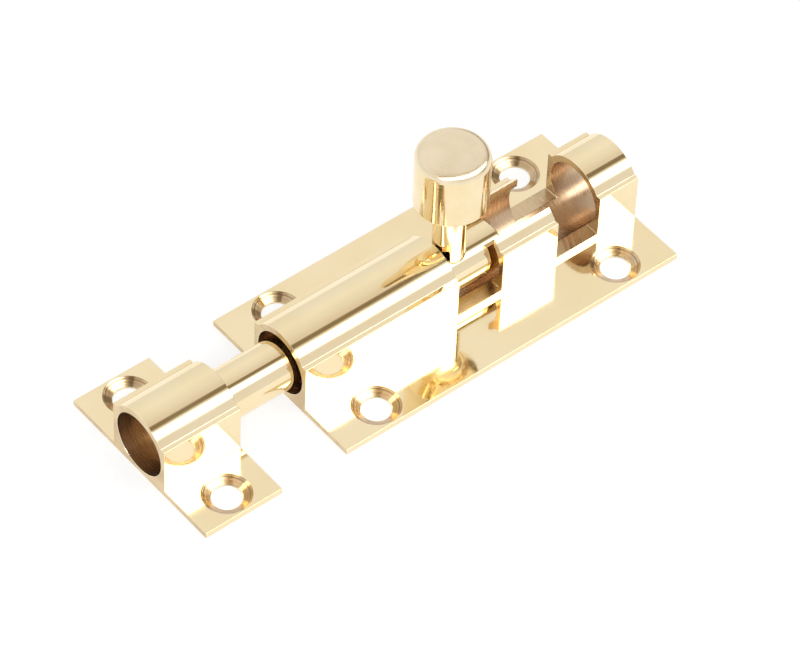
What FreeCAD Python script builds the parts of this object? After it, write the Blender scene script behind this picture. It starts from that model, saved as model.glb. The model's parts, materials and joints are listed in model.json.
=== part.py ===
import FreeCAD, Part
import math
import os

import Sketcher

# A small straight barrel bolt in solid brass, thrown into its keep, with the knob upright.
# Millimetres. X runs along the bolt: 0 is the plate's front end, the keep lies at negative X,
# and the bolt is drawn back towards positive X. Z is up from the plate's underside, and the
# origin is on the plate's centre line, at the middle of its length, after the last step.

document = FreeCAD.newDocument("barrel_bolt")

# Driving sizes: name, value, what it is.
DRIVING_SIZES = [
    ("plate_length", 50.8, "length of the extrusion that carries the barrel"),
    ("plate_width", 25.4, "width of the plate, and of the keep"),
    ("plate_thickness", 0.85, "thickness of the plate"),
    ("bore_radius", 4.15, "bore of the barrel and the keep"),
    ("floor_wall", 0.55, "metal under the bore"),
    ("side_wall", 0.7, "metal between the bore and the flat sides of the barrel"),
    ("crown_wall", 0.95, "metal between the bore and the round top of the barrel"),
    ("shoulder_rise", 2.9, "bore axis to the narrow flat shoulders"),
    ("edge_round", 0.12, "polished-over long edges of the extrusion"),
    ("front_gap_length", 6.8, "gap that locks the knob when the bolt is thrown"),
    ("middle_block_length", 8.5, "block with the slot that the knob's stem slides through"),
    ("rear_gap_length", 6.5, "gap that locks the knob when the bolt is drawn back"),
    ("rear_block_length", 6.0, "closed barrel at the rear; the front barrel takes the rest of the plate"),
    ("gap_floor_height", 1.6, "underside to the milled floor of the two gaps"),
    ("slot_width", 5.8, "slot in the top of the middle block"),
    ("hole_end_distance", 7.0, "screw hole centre to the end of the plate"),
    ("sink_edge_land", 0.25, "metal left between a countersink and the plate's long edge"),
    ("hole_radius", 1.85, "screw hole"),
    ("sink_radius", 3.05, "mouth of a countersink"),
    ("sink_angle", 120.0, "included angle of a countersink, in degrees"),
    ("keep_length", 11.0, "length of the keep"),
    ("keep_gap", 9.5, "keep to plate, as they are mounted"),
    ("rod_radius", 3.25, "round bolt rod"),
    ("rod_reach", 16.4, "rod in front of the plate when thrown"),
    ("rod_tail", 6.6, "rod behind the knob's axis"),
    ("rod_chamfer", 0.35, "chamfer at both ends of the rod"),
    ("ring_distance", 3.0, "friction ring behind the plate's front end when thrown"),
    ("groove_depth", 0.41, "groove in the rod that the friction ring sits in"),
    ("ring_arc", 330.0, "arc that the split ring covers, in degrees"),
    ("ring_bore_clearance", 0.03, "friction ring to bore"),
    ("ring_groove_clearance", 0.08, "friction ring to the floor and sides of its groove"),
    ("stem_radius", 2.05, "stem of the knob"),
    ("stem_stop_clearance", 0.15, "stem to the gap's end face at each end of the travel"),
    ("spigot_radius", 1.45, "threaded spigot of the knob, drawn plain"),
    ("spigot_length", 2.1, "length of the spigot below its seat"),
    ("spigot_clearance", 0.03, "spigot to its hole in the rod"),
    ("seat_depth", 0.75, "spot face in the rod that the stem sits on"),
    ("seat_clearance", 0.06, "stem to the side of its spot face"),
    ("neck_height", 9.1, "bore axis to the start of the flare under the head"),
    ("back_radius", 3.25, "flat back of the head"),
    ("back_cone_length", 1.35, "cone from the back of the head to its full radius"),
    ("head_radius", 4.55, "head of the knob"),
    ("head_length", 9.4, "head of the knob, from its back to the edge of its end face"),
    ("rim_round", 1.25, "rounded rim of the head"),
    ("end_dome", 0.25, "rise of the slightly domed end face"),
]

sheet = document.addObject("Spreadsheet::Sheet", "Sizes")
for row, (name, value, meaning) in enumerate(DRIVING_SIZES, start=1):
    sheet.set("A%d" % row, meaning)
    sheet.set("B%d" % row, str(value))
    sheet.setAlias("B%d" % row, name)
document.recompute()


class Size:
    """A number together with the sheet formula that it comes from."""

    def __init__(self, value, formula):
        self.value = value
        self.formula = formula

    def joined(self, sign, other, value):
        return Size(value, "(%s %s %s)" % (self.formula, sign, other.formula))

    def __add__(self, other):
        return self.joined("+", other, self.value + other.value)

    def __sub__(self, other):
        return self.joined("-", other, self.value - other.value)

    def __neg__(self):
        return Size(-self.value, "(-1 * %s)" % self.formula)

    def half(self):
        return Size(self.value / 2, "(%s / 2)" % self.formula)


size = {name: Size(value, "Sizes.%s" % name) for name, value, meaning in DRIVING_SIZES}
ZERO = Size(0.0, "0")

# Places along the bolt that several pieces share.
rear_gap_end = size["plate_length"] - size["rear_block_length"]
rear_gap_start = rear_gap_end - size["rear_gap_length"]
front_gap_end = rear_gap_start - size["middle_block_length"]
front_gap_start = front_gap_end - size["front_gap_length"]
hole_side_place = size["plate_width"].half() - size["sink_edge_land"] - size["sink_radius"]
knob_place = front_gap_start + size["stem_radius"] + size["stem_stop_clearance"]
stem_seat = size["rod_radius"] - size["seat_depth"]
axis_height = size["floor_wall"] + size["bore_radius"]
groove_floor = size["rod_radius"] - size["groove_depth"]
ring_outside = size["bore_radius"] - size["ring_bore_clearance"]
ring_wire_radius = (ring_outside - groove_floor - size["ring_groove_clearance"]).half()
frame_origin = size["plate_length"].half()


def new_body(name, x, z):
    """A body whose own origin lies at x along the bolt and z above the underside."""
    body = document.addObject("PartDesign::Body", name)
    body.Label = name
    body.setExpression("Placement.Base.x", (x - frame_origin).formula)
    body.setExpression("Placement.Base.z", z.formula)
    return body


def new_sketch(body, name, plane_role, height=ZERO):
    """A sketch on one of the body's own origin planes, lifted by height."""
    sketch = body.newObject("Sketcher::SketchObject", name)
    plane = [feature for feature in body.Origin.OriginFeatures if feature.Role == plane_role][0]
    sketch.AttachmentSupport = [(plane, "")]
    sketch.MapMode = "FlatFace"
    sketch.setExpression("AttachmentOffset.Base.z", height.formula)
    return sketch


def hold_coordinate(sketch, kind, axis, point, place):
    """Fix one coordinate of a sketch point to the sheet. A plain number is only where it is drawn."""
    if not isinstance(place, Size):
        return
    origin = (-1, 1)
    if place is ZERO:
        sketch.addConstraint(Sketcher.Constraint("PointOnObject", point[0], point[1], axis))
        return
    ends = origin + point if place.value > 0 else point + origin
    index = sketch.addConstraint(Sketcher.Constraint(kind, *ends, abs(place.value)))
    distance = place if place.value > 0 else -place
    sketch.setExpression("Constraints[%d]" % index, distance.formula)


def hold_point(sketch, point, across, up):
    vertical_axis = -2
    horizontal_axis = -1
    hold_coordinate(sketch, "DistanceX", vertical_axis, point, across)
    hold_coordinate(sketch, "DistanceY", horizontal_axis, point, up)


def hold_radius(sketch, edge, radius):
    index = sketch.addConstraint(Sketcher.Constraint("Radius", edge, radius.value))
    sketch.setExpression("Constraints[%d]" % index, radius.formula)


def number(place):
    return place.value if isinstance(place, Size) else place


def drawn_point(corner):
    return FreeCAD.Vector(number(corner[0]), number(corner[1]), 0)


def draw_circle(sketch, across, up, radius):
    centre = drawn_point((across, up))
    edge = sketch.addGeometry(Part.Circle(centre, FreeCAD.Vector(0, 0, 1), radius.value))
    hold_point(sketch, (edge, 3), across, up)
    hold_radius(sketch, edge, radius)


def draw_outline(sketch, corners, arcs=None):
    """A closed outline through corners. arcs gives {edge number: (centre, radius, centre is held)}."""
    arcs = arcs or {}
    start_end = 1
    finish_end = 2
    edges = []
    for count, corner in enumerate(corners):
        start = drawn_point(corner)
        finish = drawn_point(corners[(count + 1) % len(corners)])
        if count not in arcs:
            edges.append((sketch.addGeometry(Part.LineSegment(start, finish)), start_end, finish_end))
            continue
        centre, radius, centre_is_held = arcs[count]
        middle = (start + finish) * 0.5 - drawn_point(centre)
        crown = drawn_point(centre) + middle.normalize() * radius.value
        edge = sketch.addGeometry(Part.Arc(start, crown, finish))
        keeps_order = sketch.getPoint(edge, start_end).distanceToPoint(start) < 1e-6
        ends = (start_end, finish_end) if keeps_order else (finish_end, start_end)
        edges.append((edge,) + ends)
        hold_radius(sketch, edge, radius)
        if centre_is_held:
            hold_point(sketch, (edge, 3), centre[0], centre[1])
    for count, (edge, start, finish) in enumerate(edges):
        following, following_start, following_finish = edges[(count + 1) % len(edges)]
        joint = Sketcher.Constraint("Coincident", edge, finish, following, following_start)
        sketch.addConstraint(joint)
        hold_point(sketch, (edge, start), corners[count][0], corners[count][1])


def draw_rectangle(sketch, x_low, x_high, half_width):
    corners = [(x_low, -half_width), (x_high, -half_width), (x_high, half_width), (x_low, half_width)]
    draw_outline(sketch, corners)


def cut_upwards(body, sketch):
    """Cut everything above the sketch, and prove that something was cut."""
    solid_before = body.Tip.Shape.Volume
    cut = body.newObject("PartDesign::Pocket", sketch.Name + "_cut")
    cut.Profile = sketch
    cut.Type = "ThroughAll"
    cut.Reversed = True
    document.recompute()
    if cut.Shape.Volume > solid_before - 0.01:
        raise RuntimeError(sketch.Name + " cuts nothing")


def extrude_section(body, length):
    """One length of the brass section: flat plate, barrel block with shoulders and round top, bore."""
    plate_half = size["plate_width"].half()
    wall = size["bore_radius"] + size["side_wall"]
    crown = size["bore_radius"] + size["crown_wall"]
    shoulder = axis_height + size["shoulder_rise"]
    plate_top = size["plate_thickness"]
    round_start = math.sqrt(crown.value ** 2 - size["shoulder_rise"].value ** 2)
    sketch = new_sketch(body, body.Name + "_section", "YZ_Plane")
    corners = [
        (-plate_half, ZERO), (plate_half, ZERO), (plate_half, plate_top), (wall, plate_top),
        (wall, shoulder), (round_start, shoulder), (-round_start, shoulder), (-wall, shoulder),
        (-wall, plate_top), (-plate_half, plate_top),
    ]
    axis = (ZERO, axis_height)
    round_top = {5: (axis, crown, True)}
    draw_outline(sketch, corners, round_top)
    draw_circle(sketch, axis[0], axis[1], size["bore_radius"])
    pad = body.newObject("PartDesign::Pad", body.Name + "_extrusion")
    pad.Profile = sketch
    pad.setExpression("Length", length.formula)
    document.recompute()
    round_long_edges(body, pad, corners[0:3] + [corners[4], corners[7], corners[9]])


def round_long_edges(body, pad, corners):
    """Round the long edges of an extrusion that start at the given corners of its section."""
    names = []
    for count, edge in enumerate(pad.Shape.Edges, start=1):
        ends = [vertex.Point for vertex in edge.Vertexes]
        if len(ends) != 2 or abs(ends[0].x - ends[1].x) < 1.0:
            continue
        for across, up in corners:
            if math.hypot(ends[0].y - across.value, ends[0].z - up.value) < 1e-4:
                names.append("Edge%d" % count)
    if len(names) != len(corners):
        raise RuntimeError("a long edge is missing")
    fillet = body.newObject("PartDesign::Fillet", body.Name + "_edges")
    fillet.Base = (pad, names)
    fillet.setExpression("Radius", size["edge_round"].formula)
    document.recompute()


def drill_screw_holes(body, places):
    """Countersunk holes through the plate at the given places along X, on both sides of the barrel."""
    sketch = new_sketch(body, body.Name + "_hole_centres", "XY_Plane", size["plate_thickness"])
    for place in places:
        draw_circle(sketch, place, hole_side_place, size["hole_radius"])
        draw_circle(sketch, place, -hole_side_place, size["hole_radius"])
    document.recompute()
    solid_before = body.Tip.Shape.Volume
    holes = body.newObject("PartDesign::Hole", body.Name + "_screw_holes")
    holes.Profile = sketch
    holes.DepthType = "ThroughAll"
    holes.setExpression("Diameter", "2 * " + size["hole_radius"].formula)
    holes.HoleCutType = "Countersink"
    holes.HoleCutCustomValues = True
    holes.setExpression("HoleCutDiameter", "2 * " + size["sink_radius"].formula)
    holes.setExpression("HoleCutCountersinkAngle", size["sink_angle"].formula)
    document.recompute()
    if holes.Shape.Volume > solid_before - 0.01:
        raise RuntimeError(body.Name + " has no screw holes")


def make_barrel_plate():
    body = new_body("barrel_plate", ZERO, ZERO)
    extrude_section(body, size["plate_length"])
    plate_half = size["plate_width"].half()
    for name, start, end in (("front_gap", front_gap_start, front_gap_end),
                             ("rear_gap", rear_gap_start, rear_gap_end)):
        sketch = new_sketch(body, name, "XY_Plane", size["gap_floor_height"])
        draw_rectangle(sketch, start, end, plate_half)
        cut_upwards(body, sketch)
    # The slot starts and ends inside the two gaps, so it always runs right through the block.
    slot_start = front_gap_end - size["front_gap_length"].half()
    slot_end = rear_gap_start + size["rear_gap_length"].half()
    sketch = new_sketch(body, "stem_slot", "XY_Plane", axis_height)
    draw_rectangle(sketch, slot_start, slot_end, size["slot_width"].half())
    cut_upwards(body, sketch)
    drill_screw_holes(body, [size["hole_end_distance"],
                             size["plate_length"] - size["hole_end_distance"]])
    return body


def make_keep():
    body = new_body("keep", -size["keep_gap"] - size["keep_length"], ZERO)
    extrude_section(body, size["keep_length"])
    drill_screw_holes(body, [size["keep_length"].half()])
    return body


def make_bolt_rod():
    """The turned rod: chamfered ends, a groove for the friction ring, a seated hole for the knob."""
    body = new_body("bolt_rod", ZERO, axis_height)
    outside = size["rod_radius"]
    chamfer = size["rod_chamfer"]
    tip = -size["rod_reach"]
    tail = knob_place + size["rod_tail"]
    groove_half = ring_wire_radius + size["ring_groove_clearance"]
    groove_start = size["ring_distance"] - groove_half
    groove_end = size["ring_distance"] + groove_half
    profile = new_sketch(body, "rod_profile", "XZ_Plane")
    draw_outline(profile, [
        (tip, ZERO), (tip, outside - chamfer), (tip + chamfer, outside),
        (groove_start, outside), (groove_start, groove_floor),
        (groove_end, groove_floor), (groove_end, outside),
        (tail - chamfer, outside), (tail, outside - chamfer), (tail, ZERO),
    ])
    turning = body.newObject("PartDesign::Revolution", "rod_turning")
    turning.Profile = profile
    turning.ReferenceAxis = (profile, ["H_Axis"])
    turning.Angle = 360
    document.recompute()
    spot_face = new_sketch(body, "stem_seat", "XY_Plane", stem_seat)
    draw_circle(spot_face, knob_place, ZERO, size["stem_radius"] + size["seat_clearance"])
    cut_upwards(body, spot_face)
    hole_floor = stem_seat - size["spigot_length"] - size["spigot_clearance"]
    tapping = new_sketch(body, "spigot_hole", "XY_Plane", hole_floor)
    draw_circle(tapping, knob_place, ZERO, size["spigot_radius"] + size["spigot_clearance"])
    cut_upwards(body, tapping)
    return body


def make_friction_ring():
    """Round spring wire bent to a split ring, with its split at the bottom."""
    body = new_body("friction_ring", size["ring_distance"], axis_height)
    section = new_sketch(body, "ring_wire", "XZ_Plane")
    draw_circle(section, ZERO, ring_outside - ring_wire_radius, ring_wire_radius)
    ring = body.newObject("PartDesign::Revolution", "ring_bend")
    ring.Profile = section
    ring.ReferenceAxis = (section, ["H_Axis"])
    ring.Midplane = True
    ring.setExpression("Angle", size["ring_arc"].formula)
    return body


def make_knob():
    """The turned knob: spigot, stem, flared neck, conical back, round rim and domed end."""
    body = new_body("knob", knob_place, axis_height)
    stem = size["stem_radius"]
    spigot = size["spigot_radius"]
    back = size["back_radius"]
    head = size["head_radius"]
    rim = size["rim_round"]
    spigot_end = stem_seat - size["spigot_length"]
    flare = back - stem
    flare_top = size["neck_height"] + flare
    full_start = flare_top + size["back_cone_length"]
    head_end = flare_top + size["head_length"]
    crown = head_end + size["end_dome"]
    face = head - rim
    dome_radius = Size((face.value ** 2 + size["end_dome"].value ** 2) / (2 * size["end_dome"].value),
                       "((%s * %s + %s * %s) / (2 * %s))" % ((face.formula,) * 2
                                                            + (size["end_dome"].formula,) * 3))
    profile = new_sketch(body, "knob_profile", "XZ_Plane")
    draw_outline(profile, [
        (ZERO, spigot_end), (spigot, spigot_end), (spigot, stem_seat), (stem, stem_seat),
        (stem, size["neck_height"]), (back, flare_top), (head, full_start),
        (head, head_end - rim), (face, head_end), (ZERO, crown),
    ], {
        4: ((back, size["neck_height"]), flare, False),
        7: ((face, head_end - rim), rim, False),
        8: ((ZERO, crown - dome_radius), dome_radius, False),
    })
    turning = body.newObject("PartDesign::Revolution", "knob_turning")
    turning.Profile = profile
    turning.ReferenceAxis = (profile, ["V_Axis"])
    turning.Angle = 360
    return body


bodies = [make_barrel_plate(), make_keep(), make_bolt_rod(), make_friction_ring(), make_knob()]
document.recompute()

for item in document.Objects:
    if "Invalid" in item.State or "Error" in item.State:
        raise RuntimeError("%s failed: %s" % (item.Name, item.State))
for body in bodies:
    if body.Shape.isNull() or not body.Shape.isValid() or len(body.Shape.Solids) != 1:
        raise RuntimeError("%s is not one valid solid" % body.Label)

os.makedirs("parts", exist_ok=True)
for body in bodies:
    body.Shape.exportStep("parts/%s.step" % body.Label)
    print("%-14s volume %8.2f mm3" % (body.Label, body.Shape.Volume))
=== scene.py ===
import json
import math

import bpy
from mathutils import Matrix, Vector


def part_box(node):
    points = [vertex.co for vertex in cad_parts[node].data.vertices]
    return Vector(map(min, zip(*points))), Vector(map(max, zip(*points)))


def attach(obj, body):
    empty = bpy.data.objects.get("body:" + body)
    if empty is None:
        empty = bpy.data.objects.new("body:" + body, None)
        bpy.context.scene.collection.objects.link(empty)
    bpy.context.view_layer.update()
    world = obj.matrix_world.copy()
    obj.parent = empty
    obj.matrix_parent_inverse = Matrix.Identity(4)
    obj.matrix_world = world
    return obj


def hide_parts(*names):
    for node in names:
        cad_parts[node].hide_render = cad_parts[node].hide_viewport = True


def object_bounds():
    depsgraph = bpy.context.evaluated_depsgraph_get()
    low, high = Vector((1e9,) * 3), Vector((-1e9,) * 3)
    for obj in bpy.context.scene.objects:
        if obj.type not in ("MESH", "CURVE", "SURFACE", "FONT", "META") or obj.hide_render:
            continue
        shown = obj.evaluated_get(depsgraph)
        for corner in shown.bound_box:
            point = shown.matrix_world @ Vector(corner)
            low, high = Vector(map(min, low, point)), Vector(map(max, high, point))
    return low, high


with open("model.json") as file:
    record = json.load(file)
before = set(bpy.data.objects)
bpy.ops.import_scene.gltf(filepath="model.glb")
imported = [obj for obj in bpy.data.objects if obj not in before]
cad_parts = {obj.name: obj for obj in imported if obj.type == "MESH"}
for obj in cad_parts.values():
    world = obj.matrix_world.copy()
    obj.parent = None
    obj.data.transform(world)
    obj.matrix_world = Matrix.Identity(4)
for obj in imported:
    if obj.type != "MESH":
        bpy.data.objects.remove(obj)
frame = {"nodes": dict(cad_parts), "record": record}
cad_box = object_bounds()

MM = 0.001
scene = bpy.context.scene


# Studio. The barrel bolt lies on a plain pale sheet inside a white light tent. A long softbox hangs over
# it with the tent's dark seam beside it, so polished brass shows one brown line and one white line along
# every round. The tent, its seam, its doorway and the softbox are the world, and the sheet is the floor.

def add_node(tree, kind, inputs=None, **settings):
    """A new node. inputs maps its sockets to numbers, colours or the sockets that feed them."""
    made = tree.nodes.new(kind)
    for name, value in settings.items():
        setattr(made, name, value)
    for name, value in (inputs or {}).items():
        if isinstance(value, bpy.types.NodeSocket):
            tree.links.new(value, made.inputs[name])
        else:
            made.inputs[name].default_value = value
    return made


def calculate(tree, operation, first, second=0.0):
    return add_node(tree, "ShaderNodeMath", {0: first, 1: second}, operation=operation).outputs[0]


def remap(tree, value, start, finish, low=0.0, high=1.0):
    """value from start to finish becomes low to high, eased at both ends."""
    made = add_node(tree, "ShaderNodeMapRange", {
        "Value": value, "From Min": start, "From Max": finish, "To Min": low, "To Max": high},
        interpolation_type="SMOOTHSTEP")
    return made.outputs[0]


def band(tree, value, edges):
    """1 between the two inner edges, and 0 outside the two outer ones."""
    opens, full, fades, closes = edges
    rise = remap(tree, value, opens, full)
    fall = remap(tree, value, fades, closes, 1.0, 0.0)
    return calculate(tree, "MULTIPLY", rise, fall)


# Degrees of lean at which each band opens, is full, starts to fade and closes.
SEAM_BAND = (7.0, 12.0, 19.0, 26.0)
SOFTBOX_BAND = (26.0, 33.0, 43.0, 52.0)
# The same four for the doorway, as heights on a sphere of radius 1. The next two are distances along X
# on that sphere: where the doorway begins and is full, and where the seam and the softbox fade and end.
DOORWAY_BAND = (0.02, 0.12, 0.30, 0.42)
DOORWAY_START = (0.62, 0.76)
END_WALLS = (0.80, 0.93)
SEAM_COLOUR = (0.27, 0.21, 0.14, 1.0)
SOFTBOX_COLOUR = (5.5, 5.4, 5.2, 1.0)
DOORWAY_COLOUR = (0.26, 0.20, 0.14, 1.0)
# The tent's cloth: degrees of lean, and the colour there.
CLOTH = [
    (-180, (0.92, 0.92, 0.93)),
    (-95, (0.84, 0.86, 0.88)),
    (-40, (0.97, 0.96, 0.95)),
    (-12, (0.88, 0.86, 0.84)),
    (4, (0.80, 0.74, 0.69)),
    (26, (0.95, 0.93, 0.90)),
    (60, (0.85, 0.84, 0.86)),
    (110, (0.90, 0.90, 0.90)),
    (180, (0.92, 0.92, 0.93)),
]

scene.view_settings.view_transform = "Standard"
scene.world = bpy.data.worlds.new("light_tent")
scene.world.use_nodes = True
tent = scene.world.node_tree
tent.nodes.clear()
look = add_node(tent, "ShaderNodeTexCoord")
along, across, up = add_node(tent, "ShaderNodeSeparateXYZ", {0: look.outputs["Generated"]}).outputs
# Degrees from overhead, positive towards the front, where the camera stands.
lean = calculate(tent, "DEGREES", calculate(tent, "ARCTAN2", calculate(tent, "MULTIPLY", across, -1.0), up))
lean_share = calculate(tent, "DIVIDE", calculate(tent, "ADD", lean, 180.0), 360.0)
cloth = add_node(tent, "ShaderNodeValToRGB", {"Fac": lean_share})
stops = cloth.color_ramp.elements
while len(stops) < len(CLOTH):
    stops.new(0.5)
for stop, (degrees, colour) in zip(stops, CLOTH):
    stop.position = (degrees + 180) / 360
    stop.color = colour + (1.0,)
# The seam and the softbox end before the tent's two end walls.
inside_ends = remap(tent, calculate(tent, "ABSOLUTE", along), *END_WALLS, 1.0, 0.0)
seam = calculate(tent, "MULTIPLY", band(tent, lean, SEAM_BAND), inside_ends)
softbox = calculate(tent, "MULTIPLY", band(tent, lean, SOFTBOX_BAND), inside_ends)
# The tent has a low opening at its rear end, and the room outside is dim.
doorway = calculate(tent, "MULTIPLY", remap(tent, along, *DOORWAY_START), band(tent, up, DOORWAY_BAND))


def mix_colours(tree, share, first, second):
    """first where share is 0, second where it is 1."""
    made = add_node(tree, "ShaderNodeMix", {0: share, 6: first, 7: second}, data_type="RGBA")
    return made.outputs[2]


with_doorway = mix_colours(tent, doorway, cloth.outputs["Color"], DOORWAY_COLOUR)
with_seam = mix_colours(tent, seam, with_doorway, SEAM_COLOUR)
glow = mix_colours(tent, softbox, with_seam, SOFTBOX_COLOUR)
background = add_node(tent, "ShaderNodeBackground", {"Color": glow, "Strength": 1.0})
add_node(tent, "ShaderNodeOutputWorld", {"Surface": background.outputs[0]})

SHEET_SIZE = 2.4
# The sheet lies this far under the barrel bolt, so that the undersides do not share its plane.
SHEET_DROP = 0.02 * MM
SHEET_DARK = (0.24, 0.24, 0.24, 1)
SHEET_LIGHT = (0.28, 0.28, 0.28, 1)
SHEET_GLOW = 0.73
bpy.ops.object.select_all(action="DESELECT")
bpy.ops.mesh.primitive_plane_add(size=SHEET_SIZE, location=(0, 0, -SHEET_DROP))
sheet = bpy.context.active_object
sheet.name = "pale_sheet"
bpy.ops.object.transform_apply(location=True, rotation=True, scale=True)
paper = bpy.data.materials.new("pale_paper")
paper.use_nodes = True
paper.node_tree.nodes.clear()
fibres = add_node(paper.node_tree, "ShaderNodeTexNoise", {
    "Vector": add_node(paper.node_tree, "ShaderNodeTexCoord").outputs["Object"], "Scale": 900.0})
paper_shade = mix_colours(paper.node_tree, fibres.outputs["Fac"], SHEET_DARK, SHEET_LIGHT)
paper_surface = add_node(paper.node_tree, "ShaderNodeBsdfPrincipled", {
    "Base Color": paper_shade, "Roughness": 1.0, "Specular IOR Level": 0.0,
    "Emission Color": (1.0, 1.0, 1.0, 1.0), "Emission Strength": SHEET_GLOW})
add_node(paper.node_tree, "ShaderNodeOutputMaterial", {"Surface": paper_surface.outputs[0]})
sheet.data.materials.append(paper)

CAMERA_AZIMUTH = math.radians(-40.94)
CAMERA_ELEVATION = math.radians(48.12)
CAMERA_ROLL = math.radians(2.61)
CAMERA_DISTANCE = 574.5 * MM
CAMERA_LENS = 218.0
CAMERA_SENSOR = 36.0
# Where the camera looks, measured from the middle of the CAD box.
AIM_ALONG = 2.45 * MM
AIM_ACROSS = -0.73 * MM
middle = (Vector(cad_box[0]) + Vector(cad_box[1])) / 2
look_at = Vector((middle.x + AIM_ALONG, middle.y + AIM_ACROSS, 0))
level = math.cos(CAMERA_ELEVATION)
towards_camera = Vector((math.sin(CAMERA_AZIMUTH) * level, -math.cos(CAMERA_AZIMUTH) * level,
                         math.sin(CAMERA_ELEVATION)))
camera = bpy.data.objects.new("camera", bpy.data.cameras.new("camera"))
scene.collection.objects.link(camera)
camera.data.sensor_width = CAMERA_SENSOR
camera.data.lens = CAMERA_LENS
camera.data.clip_start = 0.01
upright = towards_camera.to_track_quat("Z", "Y")
camera.matrix_world = (Matrix.Translation(look_at + towards_camera * CAMERA_DISTANCE)
                       @ upright.to_matrix().to_4x4() @ Matrix.Rotation(CAMERA_ROLL, 4, "Z"))
scene.camera = camera


# Barrel plate. One length of extruded brass, a flat plate with the bored barrel standing on it. Two gaps
# are milled across it and a slot along the block between them, and four screw holes are countersunk. The
# outside is buffed to a mirror along its length, and each cutter leaves its own finish where it cuts. The
# cut faces, the ends, the bore and the countersinks are also painted darker, as painted shade.

plate_low, plate_high = [Vector(corner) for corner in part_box("barrel_plate")]
keep_low, keep_high = [Vector(corner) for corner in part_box("keep")]
hinge = [joint for joint in frame["record"]["behaviour"]["joints"] if joint["name"] == "knob_turn"][0]
AXIS_HEIGHT = hinge["pos_m"][2]
PLATE_THICKNESS = 0.85 * MM
BARREL_HALF_WIDTH = 4.85 * MM
SHOULDER_HEIGHT = 7.6 * MM
BARREL_RADIUS = 5.1 * MM
BORE_RADIUS = 4.15 * MM
GAP_FLOOR = 1.6 * MM
FRONT_GAP = (-2.4 * MM, 4.4 * MM)
REAR_GAP = (12.9 * MM, 19.4 * MM)
SLOT_HALF_WIDTH = 2.9 * MM
HOLE_END_DISTANCE = 7.0 * MM
HOLE_ACROSS = 9.4 * MM
HOLE_RADIUS = 1.85 * MM
SINK_RADIUS = 3.05 * MM
SINK_SLOPE = math.radians(30)
SINK_RINGS = 9
# Each ring in a countersink is a narrow ledge, from the first of these to the second around its radius.
RING_LEDGE = (-0.015 * MM, 0.005 * MM)
# The points that the marks of the saw and of the gap cutter run around, and from one mark to the next.
SAW_CENTRE = (0, 0.09, -0.04)
SAW_PITCH = 0.16 * MM
CUTTER_CENTRE = (0, 0.004, 0.03)
CUTTER_PITCH = 0.20 * MM
SINK_PITCH = 0.20 * MM
LONG_EDGE_ROUND = 0.12 * MM
BURR_ROUND = 0.045 * MM
# How many sides a round has: the crown, the bore and the rod, and the holes.
CROWN_SIDES = 256
BORE_SIDES = 192
HOLE_SIDES = 96
# A cutter runs past the metal by SPARE. Two places within NEAR of each other count as the same place,
# and two corners within WELD become one.
SPARE = 1.0 * MM
NEAR = 0.01 * MM
WELD = 1e-7
# Faces that meet at less than SMOOTH_ANGLE shade as one round. Edges over BREAK_ANGLE are broken.
SMOOTH_ANGLE = math.radians(32)
BREAK_ANGLE = math.radians(35)


def new_brass(name, pale, deep, patch):
    """The start of a brass finish: the metal, two near shades of it in soft patches, and its place."""
    material = bpy.data.materials.new(name)
    material.use_nodes = True
    tree = material.node_tree
    tree.nodes.clear()
    place = add_node(tree, "ShaderNodeTexCoord").outputs["Object"]
    patches = add_node(tree, "ShaderNodeTexNoise", {"Vector": place, "Scale": 1 / patch, "Detail": 4.0})
    share = remap(tree, patches.outputs["Fac"], 0.35, 0.65)
    surface = add_node(tree, "ShaderNodeBsdfPrincipled", {
        "Base Color": mix_colours(tree, share, pale + (1,), deep + (1,)), "Metallic": 1.0})
    add_node(tree, "ShaderNodeOutputMaterial", {"Surface": surface.outputs[0]})
    return material, tree, place, surface


def stretched(tree, place, scale):
    return add_node(tree, "ShaderNodeMapping", {"Vector": place, "Scale": scale}).outputs[0]


def add_bump(tree, height, depth, under=None):
    """A relief of the given depth in metres, on top of another relief if there is one."""
    sockets = {"Height": height, "Strength": 1.0, "Distance": depth}
    if under is not None:
        sockets["Normal"] = under
    return add_node(tree, "ShaderNodeBump", sockets).outputs[0]


def mark_surface(tree, surface, marks, spread, roughness, depth):
    """Tool marks. As marks runs through spread, roughness runs through its own pair. depth is the relief."""
    tree.links.new(remap(tree, marks, *spread, *roughness), surface.inputs["Roughness"])
    tree.links.new(add_bump(tree, marks, depth), surface.inputs["Normal"])


def buffed_brass(name, grain):
    """Mirror-buffed brass. grain is the scale of the buffing lines along X, Y and Z."""
    material, tree, place, surface = new_brass(name, (0.935, 0.79, 0.52), (0.915, 0.755, 0.47), 9 * MM)
    lines = add_node(tree, "ShaderNodeTexNoise", {
        "Vector": stretched(tree, place, grain), "Scale": 1.0, "Detail": 3.0})
    smears = add_node(tree, "ShaderNodeTexNoise", {"Vector": place, "Scale": 260.0, "Detail": 3.0})
    haze = calculate(tree, "MULTIPLY", lines.outputs["Fac"], smears.outputs["Fac"])
    tree.links.new(remap(tree, haze, 0.12, 0.45, 0.035, 0.11), surface.inputs["Roughness"])
    waves = add_node(tree, "ShaderNodeTexNoise", {"Vector": place, "Scale": 140.0, "Detail": 1.0})
    relief = add_bump(tree, waves.outputs["Fac"], 0.006 * MM)
    relief = add_bump(tree, lines.outputs["Fac"], 0.0004 * MM, relief)
    tree.links.new(relief, surface.inputs["Normal"])
    return material


def worn_and_highlit_edge(name):
    """The tiny rounded edges: rougher, with fine nicks of wear, and paler than the buffed brass as a painted
    highlight along every edge.
    """
    material, tree, place, surface = new_brass(name, (0.96, 0.86, 0.64), (0.92, 0.78, 0.52), 2 * MM)
    nicks = add_node(tree, "ShaderNodeTexNoise", {"Vector": place, "Scale": 2500.0, "Detail": 2.0})
    mark_surface(tree, surface, nicks.outputs["Fac"], (0.35, 0.7), (0.10, 0.30), 0.004 * MM)
    return material


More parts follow.
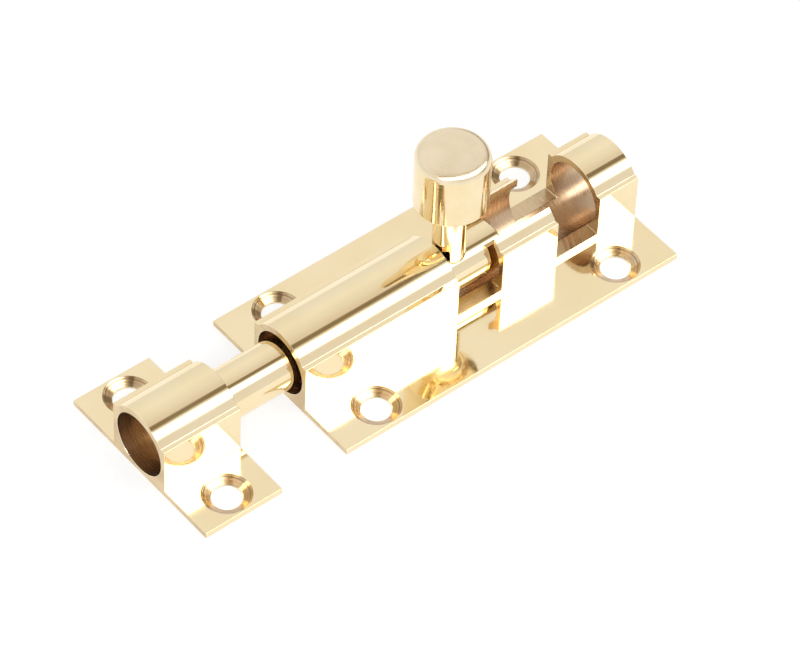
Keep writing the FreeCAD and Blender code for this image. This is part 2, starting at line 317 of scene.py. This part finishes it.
def milled_brass(name, pale, deep, centre, pitch):
    """Brass straight off a cutter: arcs of tool marks around centre, one pitch apart."""
    material, tree, place, surface = new_brass(name, pale, deep, 3 * MM)
    around = add_node(tree, "ShaderNodeMapping", {"Vector": place, "Location": [-c for c in centre]})
    sweep = add_node(tree, "ShaderNodeVectorMath", {0: around.outputs[0]}, operation="LENGTH")
    passes = calculate(tree, "DIVIDE", sweep.outputs["Value"], pitch)
    ripple = add_node(tree, "ShaderNodeTexNoise", {"W": passes, "Scale": 1.0, "Detail": 2.0},
                      noise_dimensions="1D")
    mark_surface(tree, surface, ripple.outputs["Fac"], (0.3, 0.7), (0.17, 0.34), 0.006 * MM)
    return material


def bored_brass(name):
    """The inside of a bore, with the fine rings that the reamer leaves around the X axis. Its darker colour
    is painted shade inside the bore.
    """
    material, tree, place, surface = new_brass(name, (0.64, 0.47, 0.31), (0.52, 0.37, 0.24), 2.5 * MM)
    rings = add_node(tree, "ShaderNodeTexNoise", {
        "Vector": stretched(tree, place, (6000, 60, 60)), "Scale": 1.0, "Detail": 2.0})
    mark_surface(tree, surface, rings.outputs["Fac"], (0.3, 0.7), (0.22, 0.36), 0.0015 * MM)
    return material


def sunk_brass(name, centres):
    """Turned countersinks: rings around the nearest of the (x, y) centres. The brass is painted darker than
    the buffed brass and some rings darker still, as painted shade.
    """
    material, tree, place, surface = new_brass(name, (0.70, 0.53, 0.32), (0.56, 0.40, 0.23), 1.2 * MM)
    flat = add_node(tree, "ShaderNodeVectorMath", {0: place, 1: (1, 1, 0)}, operation="MULTIPLY").outputs[0]
    nearest = None
    for x, y in centres:
        reach = add_node(tree, "ShaderNodeVectorMath", {0: flat, 1: (x, y, 0)}, operation="DISTANCE")
        away = reach.outputs["Value"]
        nearest = away if nearest is None else calculate(tree, "MINIMUM", nearest, away)
    feeds = calculate(tree, "DIVIDE", nearest, SINK_PITCH)
    rings = add_node(tree, "ShaderNodeTexNoise", {"W": feeds, "Scale": 1.0, "Detail": 2.0},
                     noise_dimensions="1D")
    # The darker rings are painted shade; the rings in roughness and relief are the real turning marks.
    painted_dark_rings = remap(tree, rings.outputs["Fac"], 0.45, 0.65)
    shade = surface.inputs["Base Color"].links[0].from_socket
    tree.links.new(mix_colours(tree, painted_dark_rings, shade, (0.40, 0.27, 0.15, 1)), surface.inputs["Base Color"])
    mark_surface(tree, surface, rings.outputs["Fac"], (0.3, 0.7), (0.06, 0.14), 0.004 * MM)
    return material


def select_only(piece):
    bpy.ops.object.select_all(action="DESELECT")
    piece.select_set(True)
    bpy.context.view_layer.objects.active = piece


def place_mesh(piece, name):
    """Name a piece and put its place and turn into its mesh."""
    piece.name = name
    select_only(piece)
    bpy.ops.object.transform_apply(location=True, rotation=True, scale=True)
    return piece


def add_block(name, low, high):
    low, high = Vector(low), Vector(high)
    bpy.ops.mesh.primitive_cube_add(size=1, location=(low + high) / 2, scale=high - low)
    return place_mesh(bpy.context.active_object, name)


def turn_piece(name, stations, sides):
    """A turned piece on the Z axis: a disc drawn up, and opened or closed, at each (radius, height)."""
    radius, height = stations[0]
    bpy.ops.mesh.primitive_circle_add(vertices=sides, radius=radius, fill_type="NGON",
                                      location=(0, 0, height))
    piece = place_mesh(bpy.context.active_object, name)
    bpy.ops.object.mode_set(mode="EDIT")
    bpy.ops.mesh.select_all(action="SELECT")
    for next_radius, next_height in stations[1:]:
        rise = (0, 0, next_height - height)
        bpy.ops.mesh.extrude_region_move(TRANSFORM_OT_translate={"value": rise})
        spread = next_radius / radius
        bpy.ops.transform.resize(value=(spread, spread, 1), center_override=(0, 0, next_height))
        radius, height = next_radius, next_height
    bpy.ops.mesh.select_all(action="SELECT")
    bpy.ops.mesh.normals_make_consistent(inside=False)
    bpy.ops.object.mode_set(mode="OBJECT")
    return piece


def lay_along_bolt(piece, start):
    """Turn a piece from the Z axis onto the bolt's axis, its foot at start along X."""
    piece.rotation_euler = (0, math.radians(90), 0)
    piece.location = (start, 0, AXIS_HEIGHT)
    return place_mesh(piece, piece.name)


def cut_or_join(piece, tool, operation):
    """Apply a boolean with tool, whose finish goes onto the faces that it leaves, and drop the tool."""
    select_only(piece)
    change = piece.modifiers.new("change", "BOOLEAN")
    change.operation = operation
    change.solver = "EXACT"
    change.material_mode = "TRANSFER"
    change.object = tool
    bpy.ops.object.modifier_apply(modifier=change.name)
    bpy.data.objects.remove(tool)


def round_edges_along(piece, places):
    """Round the long edges at the given (y, z) places, as the buffing wheel does."""
    select_only(piece)
    bpy.ops.object.mode_set(mode="EDIT")
    bpy.ops.mesh.select_all(action="DESELECT")
    bpy.ops.mesh.select_mode(type="EDGE")
    bpy.ops.object.mode_set(mode="OBJECT")
    points = [vertex.co for vertex in piece.data.vertices]
    for edge in piece.data.edges:
        first, second = [points[index] for index in edge.vertices]
        runs_along = abs(first.x - second.x) >= SPARE
        edge.select = runs_along and any(
            math.hypot(abs(first.y) - y, first.z - z) < NEAR for y, z in places)
    bpy.ops.object.mode_set(mode="EDIT")
    bpy.ops.mesh.bevel(offset=LONG_EDGE_ROUND, segments=3, affect="EDGES")
    bpy.ops.object.mode_set(mode="OBJECT")


def soften_piece(piece, edge_wear_and_highlight, burr):
    """Break every sharp edge by a hair, in the worn edge finish with its painted highlight. Rounds shade
    smoothly, flats stay flat.
    """
    select_only(piece)
    piece.data.materials.append(edge_wear_and_highlight)
    bpy.ops.object.shade_smooth_by_angle(angle=SMOOTH_ANGLE)
    broken = piece.modifiers.new("broken", "BEVEL")
    broken.width = burr
    broken.segments = 2
    broken.limit_method = "ANGLE"
    broken.angle_limit = BREAK_ANGLE
    broken.use_clamp_overlap = False
    broken.material = len(piece.data.materials) - 1
    bpy.ops.object.modifier_apply(modifier=broken.name)
    even = piece.modifiers.new("even", "WEIGHTED_NORMAL")
    even.keep_sharp = True
    even.weight = 100
    bpy.ops.object.modifier_apply(modifier=even.name)


def paint_ends(piece, finish, ends):
    """Give the sawn ends of an extrusion their own finish."""
    piece.data.materials.append(finish)
    slot_number = len(piece.data.materials) - 1
    for face in piece.data.polygons:
        if abs(face.normal.x) > 0.99 and min(abs(face.center.x - end) for end in ends) < NEAR:
            face.material_index = slot_number


def saw_through(piece, point, direction):
    """Saw a piece through point and keep the side that direction points to."""
    select_only(piece)
    bpy.ops.object.mode_set(mode="EDIT")
    bpy.ops.mesh.select_all(action="SELECT")
    bpy.ops.mesh.bisect(plane_co=point, plane_no=direction, use_fill=True, clear_inner=True)
    bpy.ops.mesh.select_all(action="SELECT")
    bpy.ops.mesh.remove_doubles(threshold=WELD)
    bpy.ops.mesh.normals_make_consistent(inside=False)
    bpy.ops.object.mode_set(mode="OBJECT")


def add_extrusion(name, start, finish):
    """One length of the section: plate, walls with narrow shoulders, round crown and bore."""
    half = plate_high.y
    piece = add_block(name, (start - SPARE, -half, 0), (finish + SPARE, half, PLATE_THICKNESS))
    piece.data.materials.append(buffed)
    walls_block = add_block("walls", (start - 2 * SPARE, -BARREL_HALF_WIDTH, PLATE_THICKNESS / 2),
                            (finish + 2 * SPARE, BARREL_HALF_WIDTH, SHOULDER_HEIGHT))
    walls_block.data.materials.append(buffed)
    cut_or_join(piece, walls_block, "UNION")
    length = finish - start
    crown = turn_piece("crown", [(BARREL_RADIUS, 0), (BARREL_RADIUS, length + 6 * SPARE)], CROWN_SIDES)
    lay_along_bolt(crown, start - 3 * SPARE)
    crown.data.materials.append(buffed)
    saw_through(crown, (0, 0, SHOULDER_HEIGHT - SPARE), (0, 0, 1))
    cut_or_join(piece, crown, "UNION")
    saw_through(piece, (start, 0, 0), (1, 0, 0))
    saw_through(piece, (finish, 0, 0), (-1, 0, 0))
    round_edges_along(piece, [(half, 0), (half, PLATE_THICKNESS), (BARREL_HALF_WIDTH, SHOULDER_HEIGHT)])
    paint_ends(piece, sawn_and_shaded, (start, finish))
    reamer = turn_piece("reamer", [(BORE_RADIUS, 0), (BORE_RADIUS, length + 2 * SPARE)], BORE_SIDES)
    lay_along_bolt(reamer, start - SPARE)
    reamer.data.materials.append(bore_with_painted_shade)
    cut_or_join(piece, reamer, "DIFFERENCE")
    return piece


def sink_hole(piece, x, y):
    """Drill and countersink one screw hole. The countersink keeps the fine rings of the turning tool."""
    width = SINK_RADIUS - HOLE_RADIUS
    depth = width * math.tan(SINK_SLOPE)
    foot = PLATE_THICKNESS - depth
    stations = [(HOLE_RADIUS, -SPARE), (HOLE_RADIUS, foot)]
    for count in range(SINK_RINGS):
        share = (count + 0.55) / SINK_RINGS
        radius = HOLE_RADIUS + width * share
        for ledge_edge in RING_LEDGE:
            stations.append((radius + ledge_edge, foot + depth * share))
    stations.append((SINK_RADIUS, PLATE_THICKNESS))
    stations.append((SINK_RADIUS, PLATE_THICKNESS + SPARE))
    drill = turn_piece("drill", stations, HOLE_SIDES)
    drill.location = (x, y, 0)
    place_mesh(drill, "drill")
    drill.data.materials.append(sunk)
    cut_or_join(piece, drill, "DIFFERENCE")


buffed = buffed_brass("buffed_brass", (160.0, 5200.0, 5200.0))
# The edge finish: real wear in its roughness and nicks, and a paler colour as a painted highlight.
edge = worn_and_highlit_edge("worn_brass_edge")
# The sawn ends are painted darker than the buffed brass: painted shade, over the real saw marks.
sawn_and_shaded = milled_brass("sawn_brass", (0.77, 0.60, 0.36), (0.62, 0.47, 0.27), SAW_CENTRE, SAW_PITCH)
# The gaps and the slot are painted darker than the buffed brass: painted shade in the cuts, over the real
# cutter marks.
milled_and_shaded = milled_brass("milled_brass", (0.67, 0.51, 0.32), (0.55, 0.41, 0.25), CUTTER_CENTRE, CUTTER_PITCH)
bore_with_painted_shade = bored_brass("bored_brass")
sink_places = [(x, y) for x in (plate_low.x + HOLE_END_DISTANCE, plate_high.x - HOLE_END_DISTANCE,
                                (keep_low.x + keep_high.x) / 2) for y in (-HOLE_ACROSS, HOLE_ACROSS)]
sunk = sunk_brass("countersunk_brass", sink_places)

plate = add_extrusion("barrel_plate_brass", plate_low.x, plate_high.x)
for start, finish in (FRONT_GAP, REAR_GAP):
    cutter = add_block("cutter", (start, plate_low.y - SPARE, GAP_FLOOR),
                       (finish, plate_high.y + SPARE, plate_high.z + SPARE))
    cutter.data.materials.append(milled_and_shaded)
    cut_or_join(plate, cutter, "DIFFERENCE")
slot_cutter = add_block("slot_cutter", (FRONT_GAP[1] - SPARE, -SLOT_HALF_WIDTH, AXIS_HEIGHT),
                        (REAR_GAP[0] + SPARE, SLOT_HALF_WIDTH, plate_high.z + SPARE))
slot_cutter.data.materials.append(milled_and_shaded)
cut_or_join(plate, slot_cutter, "DIFFERENCE")
for x in (plate_low.x + HOLE_END_DISTANCE, plate_high.x - HOLE_END_DISTANCE):
    for y in (-HOLE_ACROSS, HOLE_ACROSS):
        sink_hole(plate, x, y)
soften_piece(plate, edge, BURR_ROUND)
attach(plate, "base")
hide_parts("barrel_plate")


# Keep. A short slice of the same extrusion with one countersunk hole on each side, screwed to the door
# frame so that the bolt shoots into its bore.

keep = add_extrusion("keep_brass", keep_low.x, keep_high.x)
for y in (-HOLE_ACROSS, HOLE_ACROSS):
    sink_hole(keep, (keep_low.x + keep_high.x) / 2, y)
soften_piece(keep, edge, BURR_ROUND)
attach(keep, "base")
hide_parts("keep")


# Bolt rod. A drawn brass rod, chamfered at both ends and buffed along its length, with a groove turned
# for the friction ring and a spot face and hole for the knob, which is screwed in across it.

rod_low, rod_high = [Vector(corner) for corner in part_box("bolt_rod")]
ring_low, ring_high = [Vector(corner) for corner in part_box("friction_ring")]
knob_low, knob_high = [Vector(corner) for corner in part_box("knob")]
ROD_RADIUS = 3.25 * MM
ROD_CHAMFER = 0.35 * MM
GROOVE_CLEARANCE = 0.08 * MM
GROOVE_FLOOR = 2.84 * MM
STEM_RADIUS = 2.05 * MM
SEAT_CLEARANCE = 0.06 * MM
STEM_SEAT = 2.5 * MM
SPIGOT_RADIUS = 1.45 * MM
SPIGOT_LENGTH = 2.1 * MM
SPIGOT_CLEARANCE = 0.03 * MM
knob_place = (knob_low.x + knob_high.x) / 2

rod_length = rod_high.x - rod_low.x
groove_start = ring_low.x - GROOVE_CLEARANCE - rod_low.x
groove_end = ring_high.x + GROOVE_CLEARANCE - rod_low.x
rod = turn_piece("bolt_rod_brass", [
    (ROD_RADIUS - ROD_CHAMFER, 0), (ROD_RADIUS, ROD_CHAMFER), (ROD_RADIUS, groove_start),
    (GROOVE_FLOOR, groove_start), (GROOVE_FLOOR, groove_end), (ROD_RADIUS, groove_end),
    (ROD_RADIUS, rod_length - ROD_CHAMFER), (ROD_RADIUS - ROD_CHAMFER, rod_length)], BORE_SIDES)
lay_along_bolt(rod, rod_low.x)
rod.data.materials.append(buffed)
paint_ends(rod, sawn_and_shaded, (rod_low.x, rod_high.x))
seat_height = AXIS_HEIGHT + STEM_SEAT
seat_cutter = turn_piece("seat_cutter", [
    (SPIGOT_RADIUS + SPIGOT_CLEARANCE, seat_height - SPIGOT_LENGTH - SPIGOT_CLEARANCE),
    (SPIGOT_RADIUS + SPIGOT_CLEARANCE, seat_height), (STEM_RADIUS + SEAT_CLEARANCE, seat_height),
    (STEM_RADIUS + SEAT_CLEARANCE, AXIS_HEIGHT + ROD_RADIUS + SPARE)], HOLE_SIDES)
seat_cutter.location = (knob_place, 0, 0)
place_mesh(seat_cutter, "seat_cutter")
seat_cutter.data.materials.append(sunk)
cut_or_join(rod, seat_cutter, "DIFFERENCE")
soften_piece(rod, edge, BURR_ROUND)
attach(rod, "bolt")
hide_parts("bolt_rod")


# Knob. Turned from brass bar: a stem that flares into a coned back, a round rim and a slightly domed
# end, which is faced and not buffed. It is screwed into the rod and turns with it.

NECK_HEIGHT = 9.1 * MM
BACK_RADIUS = 3.25 * MM
BACK_CONE_LENGTH = 1.35 * MM
HEAD_RADIUS = 4.55 * MM
HEAD_LENGTH = 9.4 * MM
RIM_ROUND = 1.25 * MM
END_DOME = 0.25 * MM
FACING_PITCH = 0.10 * MM
# How many steps the flare, the rim and the domed end are drawn in, and how many sides the knob has.
FLARE_STEPS = 8
RIM_STEPS = 10
END_RINGS = 11
KNOB_SIDES = 160
# The stem stands this far off its seat in the rod.
SEAT_GAP = 0.01 * MM


def arc_stations(centre, radius, start, finish, steps):
    """Points of a turned round: centre is (radius, height), angles are degrees from straight out."""
    angles = [math.radians(start + (finish - start) * step / steps) for step in range(1, steps + 1)]
    return [(centre[0] + radius * math.cos(angle), centre[1] + radius * math.sin(angle))
            for angle in angles]


def turned_brass(name):
    """Buffed on the lathe: a mirror with faint rings around the knob's own axis."""
    material, tree, place, surface = new_brass(name, (0.935, 0.79, 0.52), (0.90, 0.735, 0.45), 5 * MM)
    rings = add_node(tree, "ShaderNodeTexNoise", {
        "Vector": stretched(tree, place, (60, 60, 4200)), "Scale": 1.0, "Detail": 3.0})
    tree.links.new(remap(tree, rings.outputs["Fac"], 0.3, 0.75, 0.05, 0.13), surface.inputs["Roughness"])
    waves = add_node(tree, "ShaderNodeTexNoise", {"Vector": place, "Scale": 160.0, "Detail": 1.0})
    relief = add_bump(tree, waves.outputs["Fac"], 0.006 * MM)
    relief = add_bump(tree, rings.outputs["Fac"], 0.0005 * MM, relief)
    tree.links.new(relief, surface.inputs["Normal"])
    return material


flare = BACK_RADIUS - STEM_RADIUS
flare_top = NECK_HEIGHT + flare
head_end = flare_top + HEAD_LENGTH
face_radius = HEAD_RADIUS - RIM_ROUND
stem_foot = STEM_SEAT + SEAT_GAP
knob_stations = [(SPIGOT_RADIUS, STEM_SEAT - SPIGOT_LENGTH), (SPIGOT_RADIUS, stem_foot),
                 (STEM_RADIUS, stem_foot), (STEM_RADIUS, NECK_HEIGHT)]
knob_stations += arc_stations((BACK_RADIUS, NECK_HEIGHT), flare, 180, 90, FLARE_STEPS)
knob_stations += [(HEAD_RADIUS, flare_top + BACK_CONE_LENGTH), (HEAD_RADIUS, head_end - RIM_ROUND)]
knob_stations += arc_stations((face_radius, head_end - RIM_ROUND), RIM_ROUND, 0, 90, RIM_STEPS)
dome_radius = (face_radius ** 2 + END_DOME ** 2) / (2 * END_DOME)
for step in range(1, END_RINGS + 1):
    out = face_radius * (1 - step / (END_RINGS + 0.3))
    knob_stations.append((out, head_end + END_DOME - dome_radius + math.sqrt(dome_radius ** 2 - out ** 2)))
knob = turn_piece("knob_brass", knob_stations, KNOB_SIDES)
knob.location = (knob_place, 0, AXIS_HEIGHT)
place_mesh(knob, "knob_brass")
knob.data.materials.append(turned_brass("turned_knob_brass"))
knob.data.materials.append(milled_brass("faced_brass", (0.88, 0.76, 0.55), (0.84, 0.71, 0.49),
                                        (knob_place, 0, AXIS_HEIGHT + head_end), FACING_PITCH))
for face in knob.data.polygons:
    if face.normal.z > 0.2 and face.center.z > AXIS_HEIGHT + head_end - RIM_ROUND:
        face.material_index = 1
soften_piece(knob, edge, BURR_ROUND)
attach(knob, "bolt")
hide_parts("knob")


# Friction ring. Spring bronze wire bent round and left open at the bottom. It sits in the rod's groove
# and rubs in the bore, so it slides with the bolt and holds it where it is put.

wire, wire_tree, wire_place, wire_surface = new_brass(
    "drawn_bronze", (0.72, 0.47, 0.27), (0.55, 0.34, 0.19), 1.5 * MM)
draw_lines = add_node(wire_tree, "ShaderNodeTexNoise", {
    "Vector": stretched(wire_tree, wire_place, (5000, 200, 200)), "Scale": 1.0, "Detail": 2.0})
mark_surface(wire_tree, wire_surface, draw_lines.outputs["Fac"], (0.3, 0.7), (0.20, 0.42), 0.003 * MM)
frame["nodes"]["friction_ring"].material_slots[0].material = wire
